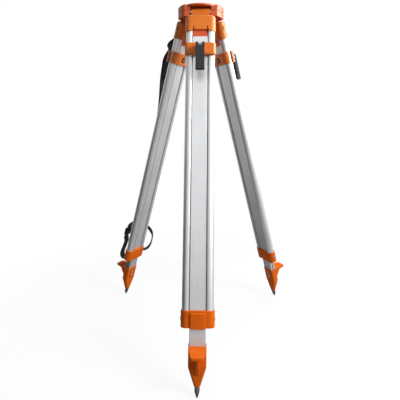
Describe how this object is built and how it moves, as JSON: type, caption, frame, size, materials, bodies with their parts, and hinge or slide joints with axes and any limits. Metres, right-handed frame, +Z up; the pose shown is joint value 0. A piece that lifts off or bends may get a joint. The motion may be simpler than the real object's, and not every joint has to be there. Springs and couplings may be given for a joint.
{
  "type": "level tripod",
  "caption": "Surveying tripod with a flat head, a captive fixing screw, hinged sliding legs with cam clamps, step-on pointed feet and a carrying strap.",
  "frame": {"origin": "centre of the head's flat top face, on the axis of the fixing screw", "axes": "+Z up along the fixing screw, front leg towards -Y, +X to the right"},
  "size_m": [0.6559, 0.6044, 1.0212],
  "materials": {
    "painted_casting": "satin",
    "painted_casting_red": "satin",
    "aluminium_tube": "satin",
    "steel": "satin",
    "dark_steel": "satin",
    "brass": "satin",
    "red_plastic": "matte",
    "grey_plastic": "matte",
    "black_plastic": "matte",
    "webbing": "matte"
  },
  "bodies": {
    "head": {"head_plate": "painted_casting_red", "hinge_ring": "painted_casting_red", "hinge_pins": "steel", "head_screws": "steel", "arm_pivot": "steel"},
    "arm": {"screw_arm": "steel"},
    "carriage": {"screw_carriage": "black_plastic", "carriage_clip": "steel"},
    "screw": {"fixing_screw": "brass", "screw_knob": "red_plastic"},
    "front_upper": {"front_leg_top": "painted_casting", "front_rail_left": "aluminium_tube", "front_rail_right": "aluminium_tube", "front_rail_screws": "steel", "front_collar": "painted_casting"},
    "front_lower": {"front_inner_leg": "aluminium_tube", "front_leg_plug": "red_plastic", "front_clamp_front": "painted_casting", "front_clamp_rear": "painted_casting", "front_clamp_bolt": "steel", "front_foot": "painted_casting", "front_foot_screws": "steel", "front_spike": "dark_steel"},
    "front_lever": {"front_lever": "grey_plastic", "front_lever_pin": "steel"},
    "right_upper": {"right_leg_top": "painted_casting", "right_rail_left": "aluminium_tube", "right_rail_right": "aluminium_tube", "right_rail_screws": "steel", "right_collar": "painted_casting"},
    "right_lower": {"right_inner_leg": "aluminium_tube", "right_leg_plug": "red_plastic", "right_clamp_front": "painted_casting", "right_clamp_rear": "painted_casting", "right_clamp_bolt": "steel", "right_foot": "painted_casting", "right_foot_screws": "steel", "right_spike": "dark_steel"},
    "right_lever": {"right_lever": "grey_plastic", "right_lever_pin": "steel"},
    "left_upper": {"left_leg_top": "painted_casting", "left_rail_left": "aluminium_tube", "left_rail_right": "aluminium_tube", "left_rail_screws": "steel", "left_collar": "painted_casting", "strap": "webbing", "strap_slider": "black_plastic", "strap_tail": "webbing", "upper_strap_loop": "steel", "lower_strap_loop": "steel"},
    "left_lower": {"left_inner_leg": "aluminium_tube", "left_leg_plug": "red_plastic", "left_clamp_front": "painted_casting", "left_clamp_rear": "painted_casting", "left_clamp_bolt": "steel", "left_foot": "painted_casting", "left_foot_screws": "steel", "left_spike": "dark_steel"},
    "left_lever": {"left_lever": "grey_plastic", "left_lever_pin": "steel"}
  },
  "joints": [
    {"name": "front_spread", "type": "hinge", "parent": "head", "child": "front_upper", "pos_m": [0, -0.0435, -0.02], "axis": [-1, 0, 0], "range_deg": [-17.2, 18]},
    {"name": "front_slide", "type": "slide", "parent": "front_upper", "child": "front_lower", "axis": [0, -0.2957, -0.9553], "range_m": [0, 0.6839]},
    {"name": "front_lever_turn", "type": "hinge", "parent": "front_lower", "child": "front_lever", "pos_m": [0, -0.11468, -0.12515], "axis": [-1, 0, 0], "range_deg": [0, 110]},
    {"name": "right_spread", "type": "hinge", "parent": "head", "child": "right_upper", "pos_m": [0.03767, 0.02175, -0.02], "axis": [0.5, -0.866, 0], "range_deg": [-17.2, 18]},
    {"name": "right_slide", "type": "slide", "parent": "right_upper", "child": "right_lower", "axis": [0.2561, 0.1479, -0.9553], "range_m": [0, 0.6839]},
    {"name": "right_lever_turn", "type": "hinge", "parent": "right_lower", "child": "right_lever", "pos_m": [0.09931, 0.05734, -0.12515], "axis": [0.5, -0.866, 0], "range_deg": [0, 110]},
    {"name": "left_spread", "type": "hinge", "parent": "head", "child": "left_upper", "pos_m": [-0.03767, 0.02175, -0.02], "axis": [0.5, 0.866, 0], "range_deg": [-17.2, 18]},
    {"name": "left_slide", "type": "slide", "parent": "left_upper", "child": "left_lower", "axis": [-0.2561, 0.1479, -0.9553], "range_m": [0, 0.6839], "deforming": ["strap"]},
    {"name": "left_lever_turn", "type": "hinge", "parent": "left_lower", "child": "left_lever", "pos_m": [-0.09931, 0.05734, -0.12515], "axis": [0.5, 0.866, 0], "range_deg": [0, 110], "deforming": ["strap"]},
    {"name": "arm_swing", "type": "hinge", "parent": "head", "child": "arm", "pos_m": [0, 0.05, -0.0339], "axis": [0, 0, 1], "range_deg": [-9, 9]},
    {"name": "carriage_slide", "type": "slide", "parent": "arm", "child": "carriage", "axis": [0, 1, 0], "range_m": [-0.008, 0.008]},
    {"name": "screw_turn", "type": "hinge", "parent": "carriage", "child": "screw", "pos_m": [0, 0, 0], "axis": [0, 0, 1], "continuous": true}
  ]
}
